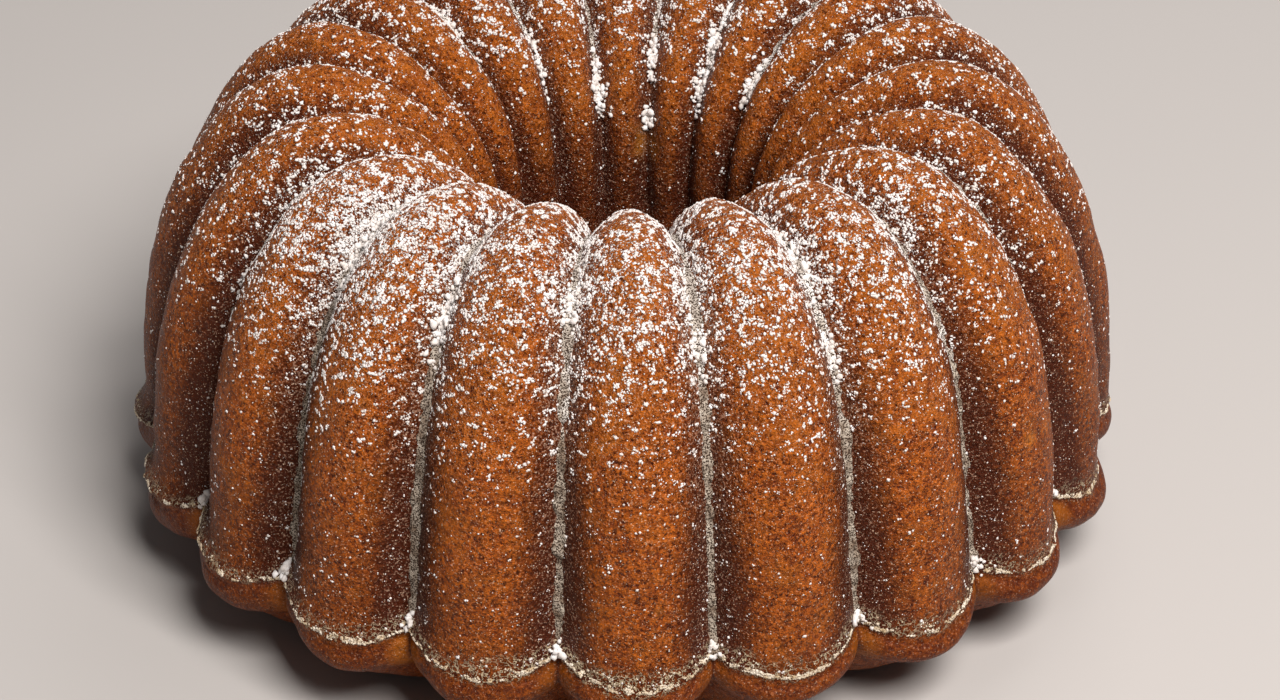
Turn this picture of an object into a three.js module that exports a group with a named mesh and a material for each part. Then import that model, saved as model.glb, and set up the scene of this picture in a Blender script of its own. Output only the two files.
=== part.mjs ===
// Lemon pound cake baked in a fluted ring tin and turned out, crown up.
//
// Millimetres, +Z up. The cake stands on the flat ring under its risen base, z = 0,
// and its axis is the Z axis. One flute faces -Y.
//
// The shape is one closed surface. A crest meridian (radius, height) runs along the top
// of every flute, a groove meridian lies towards the core of the ring from it, and each
// flute's cross section is a rounded arch between two grooves.

import * as THREE from 'three';

// ---------------------------------------------------------------- driving dimensions

const FLUTES = 20;            // equal flutes round the ring
const CROWN_HEIGHT = 118.4;   // base to the top of a crest
const CROWN_RADIUS = 77;      // radius of the circle that the crown follows
const WALL_RADIUS = 119.6;    // crest radius just above the foot ledge
const LIP_RADIUS = 121.3;     // crest radius of the rounded lip below the ledge
const HOLE_RADIUS = 24.5;     // crest radius of the central hole near the base
const RISE = 14;              // how far the risen underside drops below the lip

const SHOULDER_RADIUS = 106;  // outer shoulder, where the wall leans into the crown
const HOLE_MOUTH_RADIUS = 38; // inner shoulder, where the crown falls into the hole
const SHOULDER_HEIGHT = 94;

const LIP_HEIGHT = 8.6;       // from the lip's lower edge up to the ledge
const LIP_BULGE = 6.2;        // how far the lip's round edge reaches out from its centre

const FLAT_INNER_RADIUS = 62; // the ring that the cake rests on
const FLAT_OUTER_RADIUS = 88;

// Groove depths, measured from the crest towards the core of the ring.
const DEPTH_LIP_BOTTOM = 9;
const DEPTH_LEDGE = 8.2;
const DEPTH_WALL = 10.8;
const DEPTH_SHOULDER = 9.9;
const DEPTH_CROWN = 9;
const DEPTH_HOLE_MOUTH = 6;
const DEPTH_HOLE = 3;

// The foot ledge is scalloped: higher in the grooves than on the crests.
const LEDGE_LIFT = 5.5;
const LIP_BOTTOM_LIFT = 2.5;
const LIFT_REACH = 9;         // height over which the lift fades out up the wall

const CORE_LOW = RISE + 6;                 // the core line spans these heights
const CORE_HIGH = 80;
const ARCH_POWER = 0.92;                   // 1 is a parabola, lower is squarer

// ------------------------------------------------------------------------ resolution

const STEPS_PER_FLUTE = 8;
const UNDERSIDE_STEPS = 3;
const LIP_STEPS = 4;
const BODY_STEPS = 14;

// -------------------------------------------------------------------------- meridian

/** Natural cubic spline through the given values at the given parameters. */
function naturalSpline(knots, values) {
  const last = knots.length - 1;
  const span = (i) => knots[i + 1] - knots[i];
  const slope = (i) => (values[i + 1] - values[i]) / span(i);

  // Forward sweep and back substitution for the second derivatives at the knots.
  const curvature = new Array(last + 1).fill(0);
  const upper = new Array(last + 1).fill(0);
  for (let i = 1; i < last; i++) {
    const diagonal = 2 * (span(i - 1) + span(i)) - span(i - 1) * upper[i - 1];
    const load = 6 * (slope(i) - slope(i - 1)) - span(i - 1) * curvature[i - 1];
    upper[i] = span(i) / diagonal;
    curvature[i] = load / diagonal;
  }
  for (let i = last - 1; i > 0; i--) {
    curvature[i] -= upper[i] * curvature[i + 1];
  }

  return (t) => {
    let i = 0;
    while (i < last - 1 && t > knots[i + 1]) i++;
    const a = (knots[i + 1] - t) / span(i);
    const b = 1 - a;
    const bend = ((a ** 3 - a) * curvature[i] + (b ** 3 - b) * curvature[i + 1]) * span(i) ** 2 / 6;
    return a * values[i] + b * values[i + 1] + bend;
  };
}

/** The fluted body, from the foot of the wall over the crown and down the hole. */
function bodyRows() {
  const stations = [
    { r: WALL_RADIUS, z: RISE + LIP_HEIGHT, depth: DEPTH_LEDGE },
    { r: WALL_RADIUS - 2, z: RISE + 42, depth: DEPTH_WALL },
    { r: SHOULDER_RADIUS, z: SHOULDER_HEIGHT, depth: DEPTH_SHOULDER },
    { r: CROWN_RADIUS, z: CROWN_HEIGHT, depth: DEPTH_CROWN },
    { r: HOLE_MOUTH_RADIUS, z: SHOULDER_HEIGHT, depth: DEPTH_HOLE_MOUTH },
    { r: HOLE_RADIUS + 6, z: RISE + 36, depth: DEPTH_HOLE },
    { r: HOLE_RADIUS, z: RISE + 4, depth: DEPTH_HOLE },
  ];
  const knots = [0];
  for (let i = 1; i < stations.length; i++) {
    const step = Math.hypot(stations[i].r - stations[i - 1].r, stations[i].z - stations[i - 1].z);
    knots.push(knots[i - 1] + step);
  }
  const radius = naturalSpline(knots, stations.map((s) => s.r));
  const height = naturalSpline(knots, stations.map((s) => s.z));
  const depth = naturalSpline(knots, stations.map((s) => s.depth));

  const rows = [];
  for (let i = 0; i <= BODY_STEPS; i++) {
    const t = knots.at(-1) * i / BODY_STEPS;
    const r = radius(t);
    const z = height(t);
    const above = (z - RISE - LIP_HEIGHT) / LIFT_REACH;
    const lift = r > CROWN_RADIUS ? LEDGE_LIFT * Math.exp(-(above ** 2)) : 0;
    rows.push({ r, z, depth: depth(t), lift });
  }
  return rows;
}

/** The lip below the ledge: an arc that starts underneath and ends at the ledge. */
function lipRows() {
  const centreRadius = LIP_RADIUS - LIP_BULGE;
  const centreHeight = RISE + LIP_HEIGHT / 2 - 0.6;
  const start = THREE.MathUtils.degToRad(-80);
  const end = THREE.MathUtils.degToRad(40);
  const rows = [];
  for (let i = 0; i <= LIP_STEPS; i++) {
    const share = i / LIP_STEPS;
    const angle = THREE.MathUtils.lerp(start, end, share);
    rows.push({
      r: centreRadius + LIP_BULGE * Math.cos(angle),
      z: centreHeight + LIP_HEIGHT / 2 * Math.sin(angle),
      depth: THREE.MathUtils.lerp(DEPTH_LIP_BOTTOM, DEPTH_LEDGE, share),
      lift: THREE.MathUtils.lerp(LIP_BOTTOM_LIFT, LEDGE_LIFT, share),
    });
  }
  return rows;
}

/** A smooth rise from the flat ring to an edge, whose scallops fade out on the way. */
function undersideRows(flatRadius, edge) {
  const rows = [];
  for (let i = 1; i < UNDERSIDE_STEPS; i++) {
    const share = i / UNDERSIDE_STEPS;
    rows.push({
      r: THREE.MathUtils.lerp(flatRadius, edge.r, share),
      z: edge.z * (1 - Math.cos(share * Math.PI / 2)),
      depth: edge.depth * share ** 2,
      lift: edge.lift * share ** 2,
    });
  }
  return rows;
}

/** Every row of the closed meridian, in order, starting at the flat ring's inner edge. */
function meridian() {
  const lip = lipRows();
  const body = bodyRows();
  const innerEdge = { r: HOLE_RADIUS + 3, z: RISE - 1, depth: 0, lift: 0 };
  return [
    { r: FLAT_INNER_RADIUS, z: 0, depth: 0, lift: 0 },
    { r: FLAT_OUTER_RADIUS, z: 0, depth: 0, lift: 0 },
    ...undersideRows(FLAT_OUTER_RADIUS, lip[0]),
    ...lip,
    ...body,
    innerEdge,
    ...undersideRows(FLAT_INNER_RADIUS, innerEdge).reverse(),
  ];
}

// --------------------------------------------------------------------------- surface

/** Moves a meridian row towards the vertical core line of the ring, and up by its lift. */
function intoGroove(row, share) {
  const dr = CROWN_RADIUS - row.r;
  const dz = THREE.MathUtils.clamp(row.z, CORE_LOW, CORE_HIGH) - row.z;
  const distance = row.depth * share / Math.hypot(dr, dz);
  return { r: row.r + dr * distance, z: row.z + dz * distance + row.lift * share };
}

/** One closed ring of triangles: meridian rows carried round the axis. */
function flutedRing() {
  const rows = meridian();
  const columns = FLUTES * STEPS_PER_FLUTE;
  const positions = [];
  for (const row of rows) {
    for (let j = 0; j < columns; j++) {
      const across = 2 * (j % STEPS_PER_FLUTE) / STEPS_PER_FLUTE - 1;   // -1 and 1 are grooves
      const arch = (1 - across ** 2) ** ARCH_POWER;
      const point = intoGroove(row, 1 - arch);
      const turn = 2 * Math.PI * (j / columns - 0.5 / FLUTES);          // from -Y towards +X
      positions.push(point.r * Math.sin(turn), -point.r * Math.cos(turn), point.z);
    }
  }

  const triangles = [];
  for (let i = 0; i < rows.length; i++) {
    const next = (i + 1) % rows.length;
    for (let j = 0; j < columns; j++) {
      const beside = (j + 1) % columns;
      const a = i * columns + j;
      const b = i * columns + beside;
      const c = next * columns + beside;
      const d = next * columns + j;
      triangles.push(a, b, c, a, c, d);
    }
  }

  const geometry = new THREE.BufferGeometry();
  geometry.setAttribute('position', new THREE.Float32BufferAttribute(positions, 3));
  geometry.setIndex(triangles);
  geometry.computeVertexNormals();
  return geometry;
}

// ----------------------------------------------------------------------------- model

const crust = new THREE.MeshStandardMaterial({ color: 0xa35a22, roughness: 0.7, metalness: 0 });

const cake = new THREE.Mesh(flutedRing(), crust);
cake.name = 'cake';

const model = new THREE.Group();
model.add(cake);

export default model;
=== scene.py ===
"""A lemon pound cake baked in a fluted ring tin, turned out and dusted with icing sugar.

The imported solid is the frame. It is replaced by a finer crust with the same named sizes,
and the sugar lies on that crust as meshes: grains sifted over the crown, specks on the
wall, caked strips in the grooves and crumbled sugar along the foot ledge.

Lengths are in millimetres in the dataclasses and become metres when a mesh is made.
"""

import logging
import math
from dataclasses import dataclass, field
from enum import Enum

import bpy
import numpy as np
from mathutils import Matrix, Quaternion, Vector


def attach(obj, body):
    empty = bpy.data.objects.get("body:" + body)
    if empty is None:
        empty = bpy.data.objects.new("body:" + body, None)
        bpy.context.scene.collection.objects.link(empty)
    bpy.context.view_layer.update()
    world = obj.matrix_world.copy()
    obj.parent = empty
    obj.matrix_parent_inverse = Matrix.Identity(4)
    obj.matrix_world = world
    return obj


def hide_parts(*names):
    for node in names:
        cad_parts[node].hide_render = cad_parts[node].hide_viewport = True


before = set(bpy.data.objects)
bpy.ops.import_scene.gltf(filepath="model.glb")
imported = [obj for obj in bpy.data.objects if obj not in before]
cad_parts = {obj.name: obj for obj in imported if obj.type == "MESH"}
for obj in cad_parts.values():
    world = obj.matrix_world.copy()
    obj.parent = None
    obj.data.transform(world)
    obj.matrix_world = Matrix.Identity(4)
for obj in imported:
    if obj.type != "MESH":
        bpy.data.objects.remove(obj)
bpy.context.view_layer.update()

MM = 0.001
BAKE_MAP = "OFBake"
LOG = logging.getLogger("cake")


# ------------------------------------------------------------------------------ helpers


def linear(hex_colour: str) -> tuple[float, float, float, float]:
    """Turns an sRGB hex colour into linear light.

    Args:
        hex_colour: six hex digits, such as "b8682c".

    Returns:
        Red, green, blue and an alpha of 1, each from 0 to 1.
    """
    parts = [int(hex_colour[i:i + 2], 16) / 255 for i in (0, 2, 4)]
    bright = [c / 12.92 if c <= 0.04045 else ((c + 0.055) / 1.055) ** 2.4 for c in parts]
    return (*bright, 1.0)


def smooth_step(value: np.ndarray, low: float, high: float) -> np.ndarray:
    """Rises from 0 at low to 1 at high on the cubic 3t^2 - 2t^3."""
    t = np.clip((value - low) / (high - low), 0.0, 1.0)
    return t * t * (3 - 2 * t)


def unit(vectors: np.ndarray) -> np.ndarray:
    """Scales vectors along the last axis to length 1."""
    return vectors / np.maximum(np.linalg.norm(vectors, axis=-1, keepdims=True), 1e-12)


class NodeTable:
    """A new material's nodes, each kept under a name that later nodes link to."""

    def __init__(self, name: str) -> None:
        """Starts the material with an empty tree, and a node for Object coordinates.

        Args:
            name: the material's name.
        """
        self.material = bpy.data.materials.new(name)
        self.material.use_nodes = True
        self.material.node_tree.nodes.clear()
        self.outputs: dict[str, bpy.types.NodeSocket] = {}
        self.add("place", "TexCoord", {}, "Object")

    def add(self, name: str, kind: str, inputs: dict, output: str | int = 0,
            **settings: object) -> None:
        """Adds a node, sets its properties, and sets or links its inputs.

        Args:
            name: what later nodes call this one's output.
            kind: the node's type name without "ShaderNode".
            inputs: socket name or index to a number, a hex colour, or an output's name.
            output: the output that the name stands for.
            settings: property name to value.
        """
        tree = self.material.node_tree
        node = tree.nodes.new("ShaderNode" + kind)
        for key, value in settings.items():
            setattr(node, key, value)
        for key, value in inputs.items():
            if value in self.outputs:
                tree.links.new(self.outputs[value], node.inputs[key])
            else:
                node.inputs[key].default_value = linear(value) if isinstance(value, str) else value
        if node.outputs:
            self.outputs[name] = node.outputs[output]

    def finish(self, inputs: dict) -> bpy.types.Material:
        """Adds the shader with the given inputs, and the output node.

        Args:
            inputs: the shader's inputs, as for add.

        Returns:
            The finished material.
        """
        self.add("shader", "BsdfPrincipled", inputs, "BSDF")
        self.add("surface", "OutputMaterial", {"Surface": "shader"})
        return self.material


def make_piece(name: str, points: np.ndarray, faces: np.ndarray, material: bpy.types.Material,
               corner_map: np.ndarray | None = None,
               values: dict[str, np.ndarray] | None = None) -> bpy.types.Object:
    """Makes a smooth-shaded mesh piece that rides on the cake's body.

    Args:
        name: the piece's name.
        points: vertex places in millimetres, one row each.
        faces: vertex numbers, one row per face, all with the same number of corners.
        material: the finish.
        corner_map: texture places, one row per face corner.
        values: attribute name to one number per vertex.

    Returns:
        The new object, at the origin.
    """
    corners = faces.shape[1]
    mesh = bpy.data.meshes.new(name)
    mesh.vertices.add(len(points))
    mesh.vertices.foreach_set("co", (points * MM).astype(np.float32).ravel())
    mesh.loops.add(faces.size)
    mesh.loops.foreach_set("vertex_index", faces.astype(np.int32).ravel())
    mesh.polygons.add(len(faces))
    mesh.polygons.foreach_set("loop_start", np.arange(len(faces), dtype=np.int32) * corners)
    mesh.update(calc_edges=True)
    mesh.shade_smooth()
    if corner_map is not None:
        layer = mesh.uv_layers.new(name=BAKE_MAP)
        layer.uv.foreach_set("vector", corner_map.astype(np.float32).ravel())
    for key, numbers in (values or {}).items():
        layer = mesh.attributes.new(key, "FLOAT", "POINT")
        layer.data.foreach_set("value", numbers.astype(np.float32).ravel())
    mesh.materials.append(material)
    piece = bpy.data.objects.new(name, mesh)
    bpy.context.scene.collection.objects.link(piece)
    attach(piece, "root")
    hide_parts("cake")
    LOG.info("%s: %d faces", name, len(faces))
    return piece


class LatticeNoise:
    """Smooth noise: random numbers at the corners of cubic cells, blended on an S-curve.

    A number added to the places reads another, unrelated part of the noise.
    """

    TABLE = 64

    def __init__(self, seed: int) -> None:
        """Fills the table of corner numbers, from -1 to 1, from a seed."""
        self.corners = np.random.default_rng(seed).uniform(-1, 1, (self.TABLE,) * 3)

    def at(self, points: np.ndarray, cell: float | tuple[float, float, float]) -> np.ndarray:
        """Reads the noise.

        Args:
            points: places in millimetres, xyz along the last axis.
            cell: the cell's size in millimetres, one number or one for each axis.

        Returns:
            One number from -1 to 1 for each point.
        """
        scaled = points / np.asarray(cell, dtype=float)
        base = np.floor(scaled).astype(int)
        part = scaled - base
        part = part * part * (3 - 2 * part)
        total = np.zeros(points.shape[:-1])
        for corner in np.ndindex(2, 2, 2):
            index = (base + corner) % self.TABLE
            weight = np.prod(np.where(np.array(corner) == 1, part, 1 - part), axis=-1)
            total += weight * self.corners[index[..., 0], index[..., 1], index[..., 2]]
        return total


def natural_spline(knots: np.ndarray, values: np.ndarray, at: np.ndarray) -> np.ndarray:
    """Natural cubic spline: piecewise cubics with no bend at either end.

    Args:
        knots: rising parameters.
        values: one row of numbers for each knot.
        at: the parameters to read, within the knots.

    Returns:
        One row of numbers for each parameter.
    """
    span = np.diff(knots)
    count = len(knots)
    system = np.eye(count)
    load = np.zeros_like(values, dtype=float)
    for i in range(1, count - 1):
        system[i, i - 1:i + 2] = span[i - 1], 2 * (span[i - 1] + span[i]), span[i]
        load[i] = 6 * ((values[i + 1] - values[i]) / span[i] - (values[i] - values[i - 1]) / span[i - 1])
    curve = np.linalg.solve(system, load)
    i = np.clip(np.searchsorted(knots, at) - 1, 0, count - 2)
    a = ((knots[i + 1] - at) / span[i])[:, None]
    b = 1 - a
    bend = ((a ** 3 - a) * curve[i] + (b ** 3 - b) * curve[i + 1]) * span[i][:, None] ** 2 / 6
    return a * values[i] + b * values[i + 1] + bend


# ---------------------------------------------------------------------------- materials


@dataclass(frozen=True)
class BakedCrust:
    """Pound-cake crust baked against a greased metal tin.

    Sugar and butter brown it unevenly: orange-brown along the crests, dark brown in the
    grooves. Its colour also carries painted light and shade: a lighter crown, and darker towards
    the foot, down the hole, at the sides and back, and on the lip, whose dark tone is partly its
    own. Its skin is a mesh of fine burst bubbles under a millimetre wide, which gives it a grainy
    look and small buttery glints from its relief, with pale specks painted on as more glints.
    Sifted sugar too fine to see as grains greys the flanks.
    """

    crest_light: str = "ce6a1a"
    crest_dark: str = "4c1603"
    warm: str = "bc6818"
    golden: str = "ae6018"
    vein: str = "dc8a44"
    ruddy: str = "74280a"
    dark: str = "4c1d07"
    # The lip's own reddish crust, darkened further as painted shade.
    lip: str = "4a1a06"
    amber: str = "985410"
    pore: str = "3a1004"
    haze: str = "ac8872"
    # Painted highlight: pale specks that stand in for glints.
    painted_glint: str = "f0d2b4"
    powder: str = "f2eeec"
    patch: str = "c57c2c"
    foot_web: str = "dccaa8"
    shine: float = 0.14
    roughness: float = 0.42
    powder_roughness: float = 0.95
    relief_mm: float = 0.75
    bubble_mm: float = 1.2
    swirl_mm: float = 0.9
    stir_mm: float = 0.55
    grain_mm: float = 0.58
    crumb_mm: float = 1.4
    blotch_mm: float = 3.0
    mottle_mm: float = 11.0
    web_mm: float = 1.7
    painted_glint_mm: float = 0.42
    speck_mm: float = 0.62

    def build(self) -> bpy.types.Material:
        """Makes the material.

        Returns:
            A material that reads the crust's own attributes and Object coordinates.
        """
        nodes = NodeTable("baked_pound_cake_crust")
        self.add_patterns(nodes)
        self.add_shares(nodes)

        # The layers of colour, from the browned skin, with its painted shade and painted glints, out to
        # the powder on it.
        layers = (
            ("skin", self.crest_light), ("warm_share", self.warm), ("golden_share", self.golden),
            ("vein_share", self.vein), ("ruddy_share", self.ruddy), ("dark_share", self.dark),
            ("lip_and_shade_share", self.lip), ("amber", self.amber), ("patch_share", self.patch),
            ("pore_share", self.pore), ("foot_share", self.dark), ("web_share", self.foot_web),
            ("haze_share", self.haze), ("painted_glint_share", self.painted_glint), ("white", self.powder),
        )
        colour = self.crest_dark
        for share, layer in layers:
            nodes.add("colour", "Mix", {0: share, 6: colour, 7: layer}, 2, data_type="RGBA")
            colour = "colour"

        # Relief: grain, crumb, pits and veins, calmer on the lip and the patches, then the powder.
        nodes.add("powdery", "Math", {0: "haze_share", 1: "white"}, operation="MAXIMUM")
        nodes.add("rough", "Mix", {0: "powdery", 2: "bare_rough", 3: self.powder_roughness})
        relief = (("grain", 0.8), ("crumb", 1.2), ("pits", -0.28), ("vein", 0.30))
        height = 0.0
        for source, weight in relief:
            nodes.add("height", "Math", {0: source, 1: weight, 2: height}, operation="MULTIPLY_ADD")
            height = "height"
        nodes.add("height", "Math", {0: "height", 1: "calm"}, operation="MULTIPLY")
        for source, weight in (("white", 0.6), ("blotch", 1.2), ("web", 0.7)):
            nodes.add("height", "Math", {0: source, 1: weight, 2: "height"}, operation="MULTIPLY_ADD")
        nodes.add("bump", "Bump", {"Strength": 1.0, "Distance": self.relief_mm * MM, "Height": "height"})
        return nodes.finish({"Base Color": "colour", "Roughness": "rough", "Normal": "bump",
                             "Specular IOR Level": self.shine})

    def add_patterns(self, nodes: NodeTable) -> None:
        """Adds the crust's attributes, noises and cells, each at its real size.

        Bubbles are cells whose places are stirred, so that no two have the same outline.
        Grain, painted glint specks and sugar specks are as coarse as they need to be to show.

        Args:
            nodes: the crust's node table.
        """
        for name in ("browning_and_shade", "golden", "lip", "amber", "patch", "foot", "haze", "cover"):
            nodes.add(name, "Attribute", {}, "Fac", attribute_name=name)
        noises = (
            # Name, size in mm, detail and roughness.
            ("mottle", self.mottle_mm, 2.0, 0.55), ("blotch", self.blotch_mm, 3.0, 0.6),
            ("crumb", self.crumb_mm, 2.0, 0.6), ("grain", self.grain_mm, 3.0, 0.75),
            ("curl", self.web_mm, 2.0, 0.65), ("dust", self.grain_mm, 1.0, 0.6),
            ("painted_glint_noise", self.painted_glint_mm, 1.0, 0.5), ("speck", self.speck_mm, 2.0, 0.6),
        )
        for name, size, detail, rough in noises:
            nodes.add(name, "TexNoise", {"Vector": "place", "Scale": 1 / (size * MM),
                                         "Detail": detail, "Roughness": rough})
        nodes.add("swirl", "TexNoise", {"Vector": "place", "Scale": 1 / (self.swirl_mm * MM),
                                        "Detail": 2.0, "Roughness": 0.5}, "Color")
        nodes.add("stirred", "VectorMath", {0: "swirl", 1: (self.stir_mm * MM,) * 3, 2: "place"},
                  operation="MULTIPLY_ADD")
        for name, feature in (("bubble", "F1"), ("bubble_edge", "DISTANCE_TO_EDGE")):
            nodes.add(name, "TexVoronoi", {"Vector": "stirred", "Scale": 1 / (self.bubble_mm * MM)},
                      "Distance", feature=feature)

    def add_shares(self, nodes: NodeTable) -> None:
        """Adds how much of each layer shows: weighted sums, then ramps, then products.

        Args:
            nodes: the crust's node table.
        """
        sums = (
            # Name, source, its weight, and what is added.
            ("grain_part", "grain", 0.62, 0.0), ("tone", "crumb", 0.38, "grain_part"),
            ("pit_gap", "grain", 1.6, "bubble"), ("vein_gap", "grain", 0.25, "bubble_edge"),
            ("brown_and_shade", "tone", -0.9, "browning_and_shade"), ("foot_gap", "foot", 1.0, "blotch"),
            ("dust_gap", "haze", 0.20, "dust"), ("speck_gap", "cover", 0.36, "speck"),
            ("curl_side", "curl", 1.0, -0.5),
        )
        for name, source, weight, more in sums:
            nodes.add(name, "Math", {0: source, 1: weight, 2: more}, operation="MULTIPLY_ADD")
        nodes.add("curl_gap", "Math", {0: "curl_side"}, operation="ABSOLUTE")
        ramps = (
            # Name, source, where it starts and ends, and its values there.
            ("skin", "tone", 0.385, 0.635, 0, 1), ("warm_share", "mottle", 0.45, 0.72, 0, 0.40),
            ("golden_grain", "tone", 0.38, 0.58, 0, 1), ("vein", "vein_gap", 0.22, 0.10, 0, 1),
            # dark_share carries the browning and the painted shade.
            ("ruddy_share", "blotch", 0.56, 0.34, 0, 0.35), ("dark_share", "brown_and_shade", -0.40, 0.55, 0, 1),
            ("lip_grain", "tone", 0.34, 0.66, 1, 0.70), ("deep_pits", "pit_gap", 1.14, 0.86, 0, 1),
            ("pit_islands", "crumb", 0.56, 0.40, 0, 1), ("curl_line", "curl_gap", 0.042, 0.016, 0, 1),
            ("web_place", "foot_gap", 0.75, 1.45, 0, 1), ("haze_share", "dust_gap", 0.68, 0.75, 0, 0.62),
            # Painted highlight: where the pale glint specks lie.
            ("painted_glint", "painted_glint_noise", 0.668, 0.71, 0, 0.64), ("white", "speck_gap", 0.74, 0.78, 0, 1),
            ("bare_rough", "grain", 0.3, 0.7, self.roughness - 0.12, self.roughness + 0.12),
        )
        for name, source, low, high, bottom, top in ramps:
            nodes.add(name, "MapRange", {"Value": source, "From Min": low, "From Max": high,
                                         "To Min": bottom, "To Max": top},
                      interpolation_type="SMOOTHSTEP")
        nodes.add("smooth_part", "Math", {0: "patch", 1: "lip"}, operation="MAXIMUM")
        nodes.add("calm", "Math", {0: "smooth_part", 1: -0.70, 2: 1.0}, operation="MULTIPLY_ADD")
        products = (
            ("golden_share", "golden", "golden_grain"), ("vein_share", "vein", 0.30),
            ("lip_and_shade_share", "lip", "lip_grain"), ("patch_share", "patch", 0.70),
            ("pits", "deep_pits", "pit_islands"), ("pit_part", "pits", 0.48),
            ("pore_share", "pit_part", "calm"), ("foot_share", "foot", 0.72),
            ("web", "curl_line", "web_place"), ("web_share", "web", 0.80),
            ("painted_glint_share", "painted_glint", "calm"),
        )
        for name, source, factor in products:
            nodes.add(name, "Math", {0: source, 1: factor}, operation="MULTIPLY")


@dataclass(frozen=True)
class IcingSugar:
    """Milled sugar with starch, sifted on and slightly caked.

    It is a matt white powder. Where it has met butter on the crust it yellows and greys.
    """

    name: str = "sifted_icing_sugar"
    bright: str = "f3f0ef"
    dull: str = "dfd6cf"
    fleck: str = "b79a80"
    drifted: str = "efeae4"
    fleck_share: float = 0.0
    ior: float = 1.5
    roughness: float = 0.92
    relief_mm: float = 0.12
    clump_mm: float = 2.4
    fleck_mm: float = 0.35

    def build(self) -> bpy.types.Material:
        """Makes the material.

        Returns:
            A material that reads Object coordinates, and a strip's "fresh" attribute, which
            is 1 where new white sugar has drifted over the caked sugar, and 0 elsewhere.
        """
        nodes = NodeTable(self.name)
        for name, size, detail in (("clumps", self.clump_mm, 3.0), ("flecks", self.fleck_mm, 2.0)):
            nodes.add(name, "TexNoise", {"Vector": "place", "Scale": 1 / (size * MM), "Detail": detail})
        nodes.add("fresh", "Attribute", {}, "Fac", attribute_name="fresh")
        cut = 0.72 - 0.35 * self.fleck_share
        ramps = (("clump_share", "clumps", 0.35, 0.65), ("fleck_place", "flecks", cut, cut + 0.06))
        for name, source, low, high in ramps:
            nodes.add(name, "MapRange", {"Value": source, "From Min": low, "From Max": high})
        layers = (("clump_share", self.bright), ("fresh", self.drifted), ("fleck_place", self.fleck))
        colour = self.dull
        for share, layer in layers:
            nodes.add("colour", "Mix", {0: share, 6: colour, 7: layer}, 2, data_type="RGBA")
            colour = "colour"
        nodes.add("bump", "Bump", {"Strength": 0.8, "Distance": self.relief_mm * MM, "Height": "flecks"})
        return nodes.finish({"Base Color": "colour", "Roughness": self.roughness, "Normal": "bump",
                             "IOR": self.ior})


@dataclass(frozen=True)
class PaperSweep:
    """Matt studio background paper, rolled out flat: pale, plain, with no shine."""

    tone: str = "bcb8b5"
    roughness: float = 0.9

    def build(self) -> bpy.types.Material:
        """Makes the material, one even colour."""
        return NodeTable("matt_background_paper").finish({"Base Color": self.tone,
                                                          "Roughness": self.roughness})


# -------------------------------------------------------------------------------- crust


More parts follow.
